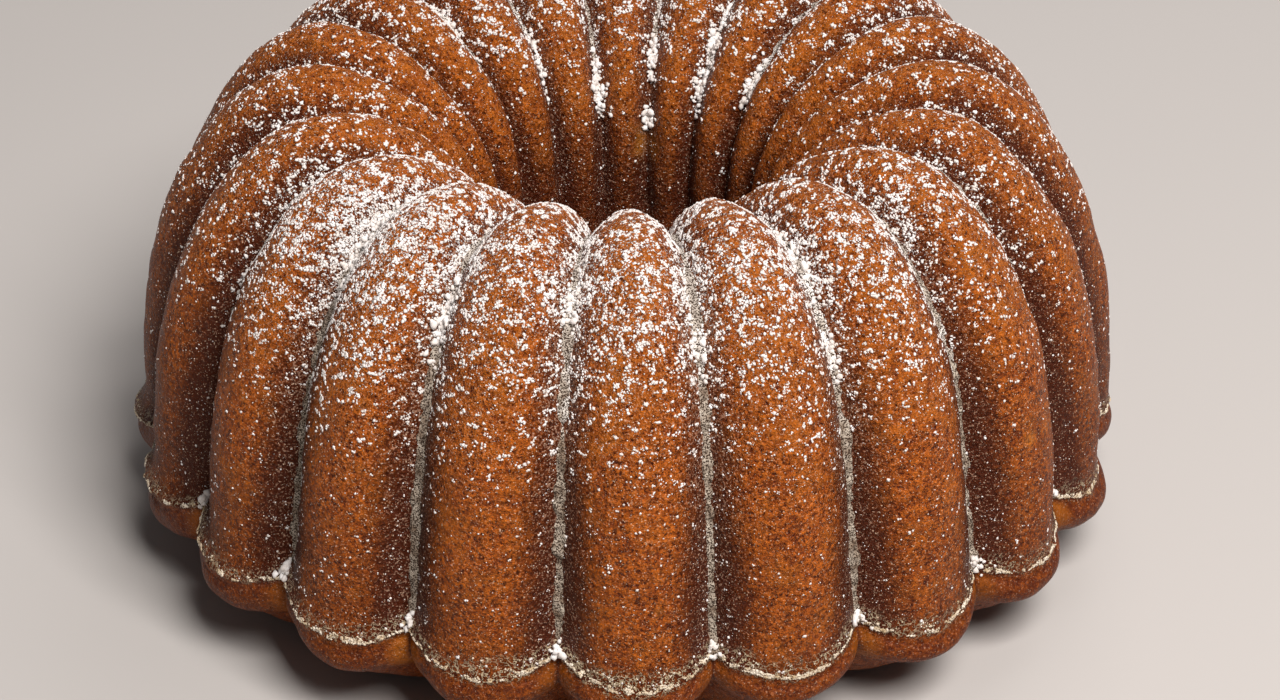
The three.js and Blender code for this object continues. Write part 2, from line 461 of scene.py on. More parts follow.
@dataclass
class RingShape:
    """The named sizes of the fluted ring, in millimetres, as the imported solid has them."""

    flutes: int = 20
    crown_height: float = 118.4
    crown_radius: float = 77.0
    wall_radius: float = 119.6
    lip_radius: float = 121.3
    hole_radius: float = 24.5
    rise: float = 14.0
    shoulder_radius: float = 106.0
    hole_mouth_radius: float = 38.0
    shoulder_height: float = 94.0
    lip_height: float = 8.6
    lip_bulge: float = 6.2
    flat_inner: float = 62.0
    flat_outer: float = 88.0
    ledge_lift: float = 5.5
    lip_bottom_lift: float = 2.5
    lift_reach: float = 9.0
    core_low: float = 20.0
    core_high: float = 80.0
    arch_power: float = 0.92
    lip_depths: tuple[float, float] = (9.0, 8.2)
    lip_arc: tuple[float, float] = (-80.0, 40.0)
    lip_centre_drop: float = 0.6

    def body(self, shares: np.ndarray) -> np.ndarray:
        """The crest from the foot of the wall over the crown and down the hole.

        A natural cubic spline through seven stations of radius, height and groove depth,
        its parameter being the length along the straight lines between them.

        Args:
            shares: parameters from 0, the wall's foot, to 1, the hole's foot.

        Returns:
            Radius, height, groove depth and groove lift in each row.
        """
        stations = np.array([
            (self.wall_radius, self.rise + self.lip_height, 8.2),
            (self.wall_radius - 2, self.rise + 42, 10.8),
            (self.shoulder_radius, self.shoulder_height, 9.9),
            (self.crown_radius, self.crown_height, 9.0),
            (self.hole_mouth_radius, self.shoulder_height, 6.0),
            (self.hole_radius + 6, self.rise + 36, 3.0),
            (self.hole_radius, self.rise + 4, 3.0),
        ])
        step = np.linalg.norm(np.diff(stations[:, :2], axis=0), axis=1)
        knots = np.concatenate([[0.0], np.cumsum(step)])
        rows = natural_spline(knots, stations, shares * knots[-1])
        above = (rows[:, 1] - self.rise - self.lip_height) / self.lift_reach
        lift = self.ledge_lift * np.exp(-above ** 2) * (rows[:, 0] > self.crown_radius)
        return np.column_stack([rows, lift])

    def lip(self, shares: np.ndarray) -> np.ndarray:
        """The lip: part of an ellipse, from underneath up to the ledge.

        Args:
            shares: parameters from 0, the lip's lower edge, to 1, the ledge.

        Returns:
            Radius, height, groove depth and groove lift in each row.
        """
        low, high = self.lip_arc
        angle = np.radians(low + (high - low) * shares)
        radius = self.lip_radius - self.lip_bulge + self.lip_bulge * np.cos(angle)
        height = self.rise + self.lip_height / 2 * (1 + np.sin(angle)) - self.lip_centre_drop
        depth = self.lip_depths[0] + (self.lip_depths[1] - self.lip_depths[0]) * shares
        lift = self.lip_bottom_lift + (self.ledge_lift - self.lip_bottom_lift) * shares
        return np.column_stack([radius, height, depth, lift])

    def underside(self, flat_radius: float, edge: np.ndarray, shares: np.ndarray) -> np.ndarray:
        """A rise from the flat ring to an edge: one minus the cosine of a quarter turn.

        The edge's scallops fade out with the square of the share.

        Args:
            flat_radius: where the flat ring ends.
            edge: the edge's radius, height, groove depth and groove lift.
            shares: parameters from 0 at the flat ring to 1 at the edge.

        Returns:
            Radius, height, groove depth and groove lift in each row.
        """
        radius = flat_radius + (edge[0] - flat_radius) * shares
        height = edge[1] * (1 - np.cos(shares * np.pi / 2))
        return np.column_stack([radius, height, edge[2] * shares ** 2, edge[3] * shares ** 2])


class Zone(Enum):
    """The stretches of the closed meridian, in order."""

    FLAT = 0
    OUTER_UNDERSIDE = 1
    LIP = 2
    BODY = 3
    INNER_UNDERSIDE = 4


@dataclass
class Sites:
    """Places on the crust: points, outward directions, and the grid places they came from."""

    points: np.ndarray
    normals: np.ndarray
    rows: np.ndarray
    columns: np.ndarray


@dataclass(frozen=True)
class BrowningAndShade:
    """How much darker than a crest the skin is in each place; 1 is as dark as it gets.

    The flanks and the uneven part are browning. The lighter crown is painted light, and the
    darker foot, hole, back and sides are painted shade.
    """

    # flank and uneven are browning; crown is painted light, a lighter top, and foot, hole, back and sides
    # are painted shade.
    flank: float = 0.80
    crown: float = -0.12
    foot: float = 0.30
    hole: float = 0.60
    back: float = 0.24
    sides: float = 0.22
    uneven: float = 0.10


@dataclass(frozen=True)
class Sifting:
    """Shares of the skin that sugar covers, and where the sieve gave more or less.

    The sieve was held over the front, so the two sides have about half as much. It paused
    over the front left.
    """

    wall: float = 0.016
    hole: float = 0.012
    shoulder: float = 0.13
    hole_shoulder: float = 0.035
    crown: float = 0.09
    facing_up: float = 0.20
    outer_groove: float = 0.20
    inner_groove: float = 0.14
    most: float = 0.70
    sides: float = -0.45
    back: float = -0.08
    pause: float = 0.50
    pause_at: float = -45.0
    pause_width: float = 15.0


@dataclass
class Crust:
    """The whole cake's skin as one closed grid: meridian rows carried round the axis.

    Each mark is made of smooth steps between two heights in millimetres, or two places
    across a flute, where 0 is its crest and 1 its grooves.
    """

    shape: RingShape = field(default_factory=RingShape)
    finish: BakedCrust = field(default_factory=BakedCrust)
    brown_and_shade: BrowningAndShade = field(default_factory=BrowningAndShade)
    sifting: Sifting = field(default_factory=Sifting)
    steps_per_flute: int = 28
    flat_rows: int = 4
    underside_rows: int = 11
    lip_rows: int = 13
    body_rows: int = 133
    inner_rows: int = 11
    lip_spread: float = 2.3
    lip_rise: float = 1.0
    ledge_rise: float = 2.6
    clear_of_floor: float = 0.05
    seed: int = 41

    def __post_init__(self) -> None:
        """Works out the grid, its relief and its attributes."""
        self.noise = LatticeNoise(self.seed)
        self.rng = np.random.default_rng(self.seed)
        self.lay_rows()
        self.lay_grid()
        self.roughen()
        self.mark()

    def lay_rows(self) -> None:
        """Sets out the closed meridian's rows: radius, height, groove depth and zone."""
        shape = self.shape
        lip = shape.lip(np.linspace(0, 1, self.lip_rows))
        # Rows lie closer together on the wall and crown than down the hole.
        even = np.linspace(0, 1, self.body_rows)
        body = shape.body(even * 0.80 + 0.20 * even ** 3)
        edge = np.array([shape.hole_radius + 3, shape.rise - 1, 0, 0])
        inner = np.linspace(0, 1, self.inner_rows + 1)[1:]
        outer = np.linspace(0, 1, self.underside_rows + 1)[1:-1]
        flat = np.linspace(shape.flat_inner, shape.flat_outer, self.flat_rows)
        blocks = [
            (Zone.FLAT, np.column_stack([flat, 0 * flat, 0 * flat, 0 * flat])),
            (Zone.OUTER_UNDERSIDE, shape.underside(shape.flat_outer, lip[0], outer)),
            (Zone.LIP, lip),
            (Zone.BODY, body),
            (Zone.INNER_UNDERSIDE, shape.underside(shape.flat_inner, edge, inner)[::-1]),
        ]
        self.rows = np.concatenate([rows for _, rows in blocks])
        self.body_start = sum(len(rows) for zone, rows in blocks if zone.value < Zone.BODY.value)
        self.body_end = self.body_start + self.body_rows
        self.crown_row = self.body_start + int(np.argmax(body[:, 1]))
        self.zone = np.concatenate([np.full(len(rows), zone.value) for zone, rows in blocks])
        self.on_body = (self.zone == Zone.BODY.value)[:, None]
        self.on_lip = (self.zone == Zone.LIP.value)[:, None]
        self.outside = (self.rows[:, 0] > shape.crown_radius)[:, None]
        self.beyond_flat = (self.rows[:, 0] > shape.flat_outer)[:, None]
        self.above_ledge = self.rows[:, 1, None] - shape.rise - shape.lip_height

    def lay_grid(self) -> None:
        """Carries the rows round the axis and presses the grooves towards the core line.

        A point's turn runs from -Y towards +X. Across a flute, -1 and 1 are its grooves.
        """
        shape, steps = self.shape, self.steps_per_flute
        columns = shape.flutes * steps
        index = np.arange(columns)
        self.across = 2 * (index % steps) / steps - 1
        self.flute = index // steps
        self.turn = 2 * np.pi * (index / columns - 0.5 / shape.flutes)
        radius, height, depth, lift = (self.rows[:, i, None] for i in range(4))
        arch = (1 - self.across ** 2) ** shape.arch_power
        core = np.clip(height, shape.core_low, shape.core_high)
        towards = unit(np.stack([shape.crown_radius - radius, core - height], axis=-1))
        press = depth * (1 - arch[None, :])
        r = radius + towards[..., 0] * press
        z = height + towards[..., 1] * press + lift * (1 - arch[None, :])
        # The lip rose a little unevenly: at the sides, and its ledge more on one side.
        near_lip = np.exp(-((height - shape.rise - 4.0) / 9.0) ** 2) * self.beyond_flat
        rim = smooth_step(height, shape.rise + 1, shape.rise + shape.lip_height)
        z = z + near_lip * self.lip_rise * np.abs(np.sin(self.turn))[None, :]
        z = z + near_lip * rim * self.ledge_rise * np.maximum(np.sin(-self.turn), 0)[None, :]
        self.points = np.stack([r * np.sin(self.turn), -r * np.cos(self.turn), z], axis=-1)
        self.arch = np.broadcast_to(arch, r.shape)

    def normals_of(self, points: np.ndarray) -> np.ndarray:
        """Outward directions: along-the-ring step crossed with along-the-meridian step.

        Args:
            points: a grid of places, meridian rows by columns round the ring.

        Returns:
            A unit vector for each place.
        """
        ring = np.roll(points, -1, axis=1) - np.roll(points, 1, axis=1)
        meridian = np.roll(points, -1, axis=0) - np.roll(points, 1, axis=0)
        return unit(np.cross(ring, meridian))

    def roughen(self) -> None:
        """Moves the skin along its normal: slack flutes, lumps, and a crumbled foot ledge.

        Each lump is a noise: its height in millimetres times the noise of a size in them.
        """
        points, noise = self.points, self.noise
        normals = self.normals_of(points)
        slack = self.rng.normal(0, 0.35, self.shape.flutes)[self.flute][None, :] * self.arch
        relief = slack * self.on_body
        relief = relief + 0.55 * noise.at(points, 15.0) + 0.28 * noise.at(points + 50, 6.5)
        relief += 0.16 * noise.at(points - 40, 3.2)
        ledge = np.exp(-(self.above_ledge / 2.2) ** 2) * (self.on_lip | self.on_body) * self.outside
        relief += ledge * (0.35 + 0.8 * noise.at(points + 90, 2.6))
        relief += self.on_lip * 0.7 * noise.at(points + 130, 10.0)
        # The batter rose higher against one side, so the lip spreads further there.
        spread = np.exp(-(self.above_ledge / 5.0) ** 2) * self.beyond_flat
        relief += self.lip_spread * spread * np.maximum(np.sin(-self.turn), 0)[None, :]
        flat = (self.zone == Zone.FLAT.value)[:, None]
        relief = np.where(flat, -np.abs(relief) * 0.3, relief)
        self.points = points + normals * relief[..., None]
        self.points[..., 2] = np.maximum(self.points[..., 2], self.clear_of_floor)
        self.normals = self.normals_of(self.points)

    def mark(self) -> None:
        """Works out the attributes that the crust's finish and the sugar read."""
        self.side = np.abs(self.across)[None, :]
        self.around = np.arctan2(self.points[..., 0], -self.points[..., 1])
        self.beside = np.sin(self.around) ** 2
        self.away = (1 - np.cos(self.around)) / 2
        self.broad = self.noise.at(self.points, 22.0)
        self.mark_browning_and_shade()
        self.mark_foot()
        self.mark_sugar()
        self.patch = self.patches()

    def mark_browning_and_shade(self) -> None:
        """Marks where the skin is darker: browned on the flanks, painted shade on the lower wall,
        down the hole, at the sides and back, and a lighter crown as painted light.
        """
        brown_and_shade, height = self.brown_and_shade, self.points[..., 2]
        depth_share = np.clip(self.rows[:, 2, None] / self.shape.lip_depths[0], 0, 1)
        shade = brown_and_shade.flank * smooth_step(self.side, 0.30, 0.92) * depth_share
        # Painted light: a lighter crown. Painted shade: darker towards the foot, down the hole, at the
        # sides and towards the back.
        shade = shade + brown_and_shade.crown * smooth_step(height, 70, 100)
        shade = shade + brown_and_shade.foot * smooth_step(-height, -85, -22) * self.outside
        shade = shade + brown_and_shade.hole * smooth_step(-height, -108, -58) * ~self.outside
        shade = shade + brown_and_shade.sides * self.beside * self.outside + brown_and_shade.back * self.away
        shade = np.clip(shade + brown_and_shade.uneven * self.broad, 0, 1) * self.on_body
        self.browning_and_shade = shade + self.on_lip * smooth_step(self.side, 0.93, 1.0)
        crest = smooth_step(-self.side, -0.75, -0.2)
        self.golden = 0.60 * smooth_step(height, 68, 104) * crest * self.on_body

    def mark_foot(self) -> None:
        """Marks the dark lip, its dark tone partly its own and partly painted shade, the amber notches
        beside its grooves, and the wall's foot.
        """
        # Painted shade: the lip and the underside take the dark lip colour, more of it at the sides.
        self.lip = (self.zone <= Zone.LIP.value)[:, None] * (0.82 + 0.18 * self.beside)
        notch = smooth_step(self.side, 0.70, 0.90) - 0.9 * smooth_step(self.side, 0.93, 1.0)
        self.amber = self.on_lip * notch * np.clip(0.65 + 0.5 * self.broad, 0, 1)
        above = self.above_ledge + 2.5 * self.noise.at(self.points + 60, 7.0)
        self.foot = smooth_step(-above, -9.0, -2.5) * self.on_body * self.outside
        self.foot = self.foot * (0.62 + 0.38 * np.exp(-(self.around / 0.45) ** 2))

    def mark_sugar(self) -> None:
        """Marks the sugar: most where the skin faces up and in the grooves of the crown."""
        sift, height, up = self.sifting, self.points[..., 2], self.normals[..., 2]
        high = smooth_step(height, 84, 112)
        middle = smooth_step(height, 64, 98)
        groove = smooth_step(self.side, 0.60, 0.95)
        crown = sift.crown + sift.facing_up * smooth_step(up, 0.10, 0.75) + sift.outer_groove * groove
        outer = sift.wall + middle * (sift.shoulder + 0.03 * self.broad) + high * crown
        mouth = sift.crown + sift.facing_up * smooth_step(up, 0.05, 0.8) + sift.inner_groove * groove
        inner = sift.hole + sift.hole_shoulder * smooth_step(height, 60, 88) + high * mouth
        pause = ((np.degrees(self.around) - sift.pause_at) / sift.pause_width) ** 2
        sieve = 1 + sift.sides * self.beside + sift.back * self.away + sift.pause * np.exp(-pause)
        cover = np.where(self.outside, outer, inner) * sieve
        self.cover = np.clip(cover, 0, sift.most) * self.on_body
        haze = 0.04 + 0.55 * smooth_step(self.side, 0.50, 0.95) + 0.32 * smooth_step(height, 48, 100)
        haze = haze * np.where(self.outside, 1.0, 0.55) * (1 + sift.sides * self.beside)
        self.haze = np.clip(haze * (sieve + 0.30 * self.away), 0, 1) * self.on_body

    def patches(self) -> np.ndarray:
        """Paler places where the skin stuck to the tin: soft round spots on chosen flutes.

        Returns:
            How much each grid point belongs to a spot, 0 to 1.
        """
        shape = self.shape
        wall, hole = shape.wall_radius - 4, shape.hole_mouth_radius - 5
        # Flute, place across it, radius, height and size in mm.
        spots = [(-1, 0.15, wall, 93, 5.5), (-1, 0.55, wall, 73, 2.2), (0, 0.26, wall, 43, 2.4),
                 (1, 0.5, wall, 49, 2.4), (3, -0.2, wall, 60, 3.0), (8, 0.1, wall, 70, 5.0),
                 (12, -0.2, wall, 52, 3.0), (15, 0.2, wall, 84, 5.0), (10, -1.0, hole, 82, 6.0)]
        total = np.zeros(self.points.shape[:-1])
        for flute, across, radius, height, size in spots:
            turn = 2 * np.pi * (flute + across / 2) / shape.flutes
            centre = np.array([math.sin(turn), -math.cos(turn), 0]) * radius
            centre[2] = height
            gap = np.linalg.norm((self.points - centre) * (1, 1, 0.6), axis=-1)
            total = np.maximum(total, smooth_step(-gap, -size, -size * 0.3))
        return total * smooth_step(self.noise.at(self.points + 7, 4.0), -0.5, 0.4)

    def build(self) -> bpy.types.Object:
        """Makes the crust piece.

        Returns:
            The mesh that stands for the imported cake.
        """
        rows, columns = self.points.shape[:2]
        i, j = np.meshgrid(np.arange(rows), np.arange(columns), indexing="ij")
        near, beside = (i + 1) % rows, (j + 1) % columns
        faces = np.stack([i * columns + j, i * columns + beside, near * columns + beside,
                          near * columns + j], axis=-1).reshape(-1, 4)
        corners = np.stack([(j, i), (j + 1, i), (j + 1, i + 1), (j, i + 1)])
        flat_map = corners.transpose(2, 3, 0, 1) / (columns, rows)
        names = ("browning_and_shade", "lip", "amber", "foot", "cover", "haze", "patch", "golden")
        values = {name: getattr(self, name) for name in names}
        return make_piece("cake_crust", self.points.reshape(-1, 3), faces, self.finish.build(),
                          flat_map.reshape(-1, 2), values)

    def read(self, grid: np.ndarray, rows: np.ndarray, columns: np.ndarray) -> np.ndarray:
        """Blends a grid's four nearest entries at fractional rows and columns.

        Args:
            grid: one number or vector for each grid point.
            rows: fractional row numbers.
            columns: fractional column numbers, which wrap round the ring.

        Returns:
            The blended number or vector for each place.
        """
        high, wide = grid.shape[:2]
        i, j = np.floor(rows).astype(int), np.floor(columns).astype(int)
        a, b = rows - i, columns - j
        if grid.ndim == 3:
            a, b = a[..., None], b[..., None]
        i, j = i % high, j % wide
        near, beside = (i + 1) % high, (j + 1) % wide
        low = grid[i, j] * (1 - b) + grid[i, beside] * b
        return low * (1 - a) + (grid[near, j] * (1 - b) + grid[near, beside] * b) * a

    def sites(self, tries: int, weight: np.ndarray, rng: np.random.Generator) -> Sites:
        """Draws random places, evenly by area times weight.

        Args:
            tries: how many places.
            weight: one number for each grid point, 0 where nothing may land.
            rng: the seeded source of randomness.

        Returns:
            The places.
        """
        points = self.points
        ring = np.roll(points, -1, axis=1) - points
        meridian = np.roll(points, -1, axis=0) - points
        area = np.linalg.norm(np.cross(ring, meridian), axis=-1)
        chance = np.cumsum((area * weight).ravel())
        pick = np.searchsorted(chance, rng.uniform(0, chance[-1], tries))
        rows = pick // points.shape[1] + rng.uniform(0, 1, tries)
        columns = pick % points.shape[1] + rng.uniform(0, 1, tries)
        return Sites(self.read(points, rows, columns), unit(self.read(self.normals, rows, columns)),
                     rows, columns)


# -------------------------------------------------------------------------------- sugar


class GrainShape:
    """A small closed blob: the square folded onto a sphere as an octahedron is.

    The square's centre is the top, its diamond the equator, and its four corners meet at
    the bottom. Each blob has its own cell on the texture map.
    """

    MAP_HALF = 0.46   # leaves a gap round the square in its cell

    def __init__(self, halves: int) -> None:
        """Builds the blob's points, triangles and map.

        Args:
            halves: grid steps from the centre to the edge; 1 gives 8 faces, 2 gives 32.
        """
        line = np.linspace(-1, 1, 2 * halves + 1)
        x, y = np.meshgrid(line, line, indexing="ij")
        z = 1 - np.abs(x) - np.abs(y)
        fold = np.maximum(-z, 0)
        sphere = np.stack([x - np.copysign(fold, x), y - np.copysign(fold, y), z], axis=-1)
        sphere = unit(sphere.reshape(-1, 3))
        _, first, merged = np.unique(np.round(sphere, 5), axis=0, return_index=True,
                                     return_inverse=True)
        self.points = sphere[first]
        merged = merged.reshape(-1)
        size = 2 * halves + 1
        i, j = np.meshgrid(np.arange(size - 1), np.arange(size - 1), indexing="ij")
        a, b, c, d = i * size + j, (i + 1) * size + j, (i + 1) * size + j + 1, i * size + j + 1
        # The diagonal of each cell follows the octahedron's edges.
        rising = ((i < halves) == (j < halves))[..., None]
        first_half = np.where(rising, np.stack([a, b, d], -1), np.stack([a, b, c], -1))
        second_half = np.where(rising, np.stack([b, c, d], -1), np.stack([a, c, d], -1))
        grid_faces = np.concatenate([first_half.reshape(-1, 3), second_half.reshape(-1, 3)])
        self.faces = merged[grid_faces]
        self.map = np.stack([x.ravel(), y.ravel()], axis=-1)[grid_faces] * self.MAP_HALF + 0.5
        # Triangles whose normal points towards the middle are turned round.
        a, b, c = self.points[self.faces].transpose(1, 0, 2)
        inward = np.einsum("ij,ij->i", np.cross(b - a, c - a), a + b + c) < 0
        self.faces[inward] = self.faces[inward][:, ::-1]
        self.map[inward] = self.map[inward][:, ::-1]


@dataclass
class GrainKind:
    """One kind of loose sugar, in millimetres: its grains' radii and how they gather.

    A grain has 8 faces where halves is 1, and 32 where it is 2. The cell is the size of
    the clusters, the flatness is how much a grain is pressed onto the crust, and the lift
    is how far it stands off it, in radii.
    """

    name: str
    count: int
    halves: int
    smallest: float
    largest: float
    cell: tuple[float, float, float]
    flatness: float = 0.5
    lift: float = 0.12


@dataclass
class SiftedSugar:
    """Loose sugar grains that lie on the crust in clusters."""

    crust: Crust
    finish: bpy.types.Material
    seed: int = 7
    stray: float = 0.06
    tries_per_grain: int = 12

    def gathered(self, kind: GrainKind, weight: np.ndarray, share: np.ndarray,
                 rng: np.random.Generator) -> Sites:
        """Draws places in clusters, so that they cover a wanted share of the skin.

        A place is kept where the rank of the noise there is above one minus the wanted
        share, so the clusters are the noise's high islands.

        Args:
            kind: the grains.
            weight: where they may land, one number for each grid point.
            share: how much of the skin is covered, one number for each grid point.
            rng: the seeded source of randomness.

        Returns:
            The kept places, at most kind.count of them.
        """
        tries = self.crust.sites(kind.count * self.tries_per_grain, weight, rng)
        noise = LatticeNoise(self.seed + kind.count)
        cell = np.array(kind.cell)
        value = noise.at(tries.points, cell) - 0.3 * np.abs(noise.at(tries.points + 77, cell * 1.7))
        value += 0.5 * noise.at(tries.points + 31, cell / 2.1)
        rank = np.argsort(np.argsort(value)) / len(value)
        wanted = self.crust.read(share, tries.rows, tries.columns)
        keep = np.flatnonzero(rank > 1 - wanted)[:kind.count]
        return Sites(tries.points[keep], tries.normals[keep], tries.rows[keep], tries.columns[keep])

    def blobs(self, kind: GrainKind, sites: Sites, rng: np.random.Generator) -> bpy.types.Object:
        """Joins one blob for each site into a piece.

        Each blob is the template with uneven radii, turned at random, and pressed flat
        towards the crust.

        Args:
            kind: the grains.
            sites: where they lie.
            rng: the seeded source of randomness.

        Returns:
            The joined mesh piece.
        """
        template = GrainShape(kind.halves)
        count = len(sites.points)
        size = kind.smallest + (kind.largest - kind.smallest) * rng.uniform(0, 1, count) ** 2
        turned = rng.normal(size=(count, 3, 3))
        turned, _ = np.linalg.qr(turned)
        turned *= np.sign(np.linalg.det(turned))[:, None, None]
        uneven = rng.uniform(0.65, 1.3, (count, len(template.points), 1))
        stretch = rng.uniform(0.75, 1.25, (count, 1, 3))
        local = template.points[None] * uneven * stretch
        local = np.einsum("nvj,nij->nvi", local, turned) * size[:, None, None]
        out = sites.normals[:, None, :]
        local -= kind.flatness * out * np.sum(local * out, axis=-1, keepdims=True)
        points = sites.points[:, None, :] + local + out * (kind.lift * size[:, None, None])
        faces = template.faces[None] + (np.arange(count) * len(template.points))[:, None, None]
        side = math.ceil(math.sqrt(count))
        cell = np.stack([np.arange(count) % side, np.arange(count) // side], axis=-1)
        corner_map = (template.map[None] + cell[:, None, None, :]) / side
        return make_piece(kind.name, points.reshape(-1, 3), faces.reshape(-1, 3), self.finish,
                          corner_map.reshape(-1, 2))

    def build(self) -> None:
        """Makes every kind of loose grain."""
        crust = self.crust
        high = smooth_step(crust.points[..., 2], 88, 100)
        fine = 0.08 + 0.25 * crust.haze + 0.3 * crust.cover
        kinds = (
            (GrainKind("sugar_patches_on_crown", 24900, 1, 0.25, 0.57, (1.5, 1.5, 1.1)),
             crust.cover, high * crust.outside),
            (GrainKind("sugar_patches_on_shoulder", 20000, 1, 0.21, 0.48, (1.4, 1.4, 0.8)),
             crust.cover, (1 - high) * crust.outside),
            (GrainKind("sugar_patches_in_hole", 20000, 1, 0.26, 0.60, (1.6, 1.6, 1.2)),
             crust.cover, ~crust.outside),
            (GrainKind("sugar_specks", 24900, 1, 0.12, 0.27, (1.1, 1.1, 0.7)), fine, 1.0),
        )
        for number, (kind, share, where) in enumerate(kinds):
            rng = np.random.default_rng(self.seed + number)
            weight = crust.on_body * where * (share + self.stray)
            self.blobs(kind, self.gathered(kind, weight, share, rng), rng)


@dataclass
class GrooveSugar:
    """Sugar caked in the bottoms of the grooves, one closed strip for each groove."""

    crust: Crust
    finish: bpy.types.Material
    along: int = 240
    across: int = 8
    half_width: float = 1.1
    reach: float = 0.72
    sag: float = 0.35
    edge_drop: float = 0.30
    root_depth: float = 1.0
    seed: int = 19

    def build(self) -> bpy.types.Object:
        """Makes the strips.

        Across a strip its skin is the straight line between two places on the flanks,
        sagging in the middle and roughened by noise; its edges and its one lower point
        are inside the crust.

        Returns:
            The joined mesh piece.
        """
        crust = self.crust
        first = crust.body_start
        rows = np.linspace(first + 0.5, first + int(crust.body_rows * self.reach), self.along)
        groove = np.arange(crust.shape.flutes)[:, None] * float(crust.steps_per_flute)
        rows = rows[None, :] + 0 * groove
        side = np.linspace(-1, 1, self.across)[None, None, :]
        bottom = crust.read(crust.points, rows, groove + 0 * rows)
        out = unit(crust.read(crust.normals, rows, groove + 0 * rows))[:, :, None, :]
        noise = LatticeNoise(self.seed)
        width = self.half_width * (1 + 0.45 * noise.at(bottom, 5.0))
        left = crust.read(crust.points, rows, groove - width)[:, :, None, :]
        right = crust.read(crust.points, rows, groove + width)[:, :, None, :]
        share = (side + 1)[..., None] / 2
        skin = left * (1 - share) + right * share
        fill = -0.05 + 0.40 * noise.at(skin, 2.6) + 0.45 * noise.at(skin + 9, 1.1)
        lift = fill - (1 - side ** 2) * self.sag - self.edge_drop * side ** 4
        under = bottom[:, :, None, :] - out * self.root_depth
        ring = np.concatenate([skin + out * lift[..., None], under], axis=2)
        # New sugar lies white over the caked sugar near the crown, and in drifts below it.
        drift = noise.at(ring + 300, (6.0, 6.0, 9.0)) + 0.4 * noise.at(ring + 20, 1.5)
        height = ring[..., 2]
        fresh = smooth_step(drift, 0.20, 0.6) * smooth_step(height, 70, 96)
        return self.strips(ring, np.clip(smooth_step(height, 84, 114) * 0.35 + fresh, 0, 1))

    def strips(self, ring: np.ndarray, fresh: np.ndarray) -> bpy.types.Object:
        """Joins closed strips into a piece.

        Each strip is one column of the texture map, and its end caps lie beside it.

        Args:
            ring: the points: by strip, along it, and round its cross section.
            fresh: how white each point is.

        Returns:
            The joined mesh piece.
        """
        count, along, around = ring.shape[:3]
        i, j = (grid.reshape(-1, 1) for grid in np.indices((along - 1, around)))
        # The corners of each four-sided cell, as steps along and round.
        ahead, beside = np.array([(0, 0), (0, 1), (1, 1), (1, 0)]).T
        quads = (i + ahead) * around + (j + beside) % around
        quad_map = np.stack([(j + beside) / (around + 1) * 0.9,
                             (i + ahead) / (along - 1) * 0.98 + 0.01], axis=-1)
        fan = np.arange(1, around - 1)
        start = np.stack([0 * fan, fan + 1, fan], axis=-1)
        end = start[:, (0, 2, 1)]
        angle = 6.2 * np.arange(around) / around
        cap = np.stack([0.91 + 0.03 * np.cos(angle), 0.5 + 0.2 * np.sin(angle)], axis=-1)
        halves = ((0, 1, 2), (0, 2, 3))
        faces = np.concatenate([*(quads[:, half] for half in halves), start,
                                end + (along - 1) * around])
        faces = faces[None] + (np.arange(count) * along * around)[:, None, None]
        strip_map = np.concatenate([*(quad_map[:, half] for half in halves), cap[start],
                                    cap[end] + (0.05, 0)])
        strip_map = np.repeat(strip_map[None], count, axis=0)
        strip_map[..., 0] = (strip_map[..., 0] + np.arange(count)[:, None, None]) / count
        return make_piece("sugar_in_grooves", ring.reshape(-1, 3), faces.reshape(-1, 3), self.finish,
                          strip_map.reshape(-1, 2), {"fresh": fresh.ravel()})


@dataclass(frozen=True)
class Drift:
    """A drift of sugar in one groove: which groove, its height, its length and its side.

    Grooves are counted from the front towards +X, and inner is the side of the hole.
    """

    groove: int
    height: float
    length: float
    inner: bool = False


@dataclass
class DriftedSugar:
    """Soft white lumps that slid off the crown and came to rest in its grooves."""

    crust: Crust
    finish: bpy.types.Material
    chosen: tuple[Drift, ...] = (
        Drift(-1, 98, 11), Drift(1, 97, 8), Drift(2, 107, 9), Drift(2, 93, 4), Drift(0, 104, 7),
        Drift(-2, 101, 8), Drift(9, 100, 10, True), Drift(10, 96, 8, True), Drift(10, 84, 5, True),
        Drift(11, 92, 9, True), Drift(12, 98, 9, True), Drift(8, 95, 7, True),
    )
    strays: int = 12
    lumps_per_mm: float = 15.0
    half_width: float = 0.85
    seed: int = 61

    def build(self) -> bpy.types.Object:
        """Makes the drifts: the chosen ones and a few at random in other grooves.

        Returns:
            The joined mesh piece.
        """
        crust = self.crust
        rng = np.random.default_rng(self.seed)
        others = [Drift(int(groove), rng.uniform(88, 110), rng.uniform(3, 8), bool(rng.integers(2)))
                  for groove in rng.permutation(crust.shape.flutes)[:self.strays]]
        inner_half = np.arange(crust.crown_row, crust.body_end)
        outer_half = np.arange(crust.crown_row, crust.body_start, -1)
        rows, columns = [], []
        for drift in (*self.chosen, *others):
            count = int(drift.length * self.lumps_per_mm)
            spots = drift.height + drift.length * rng.normal(0, 0.30, count)
            half = inner_half if drift.inner else outer_half
            column = (drift.groove * crust.steps_per_flute) % crust.points.shape[1]
            x, y, heights = crust.points[half, column].T
            rows.append(np.interp(-spots, -heights, half))
            step = 2 * np.pi * np.interp(-spots, -heights, np.hypot(x, y)) / crust.points.shape[1]
            columns.append(column + rng.normal(0, self.half_width, count) / step)
        rows, columns = np.concatenate(rows), np.concatenate(columns)
        normals = unit(crust.read(crust.normals, rows, columns))
        points = crust.read(crust.points, rows, columns) + normals * rng.uniform(0, 0.5, (len(rows), 1))
        kind = GrainKind("sugar_drifts", len(rows), 2, 0.25, 0.90, (1, 1, 1), 0.25, 0.2)
        sites = Sites(points, normals, rows, columns)
        return SiftedSugar(crust, self.finish).blobs(kind, sites, rng)


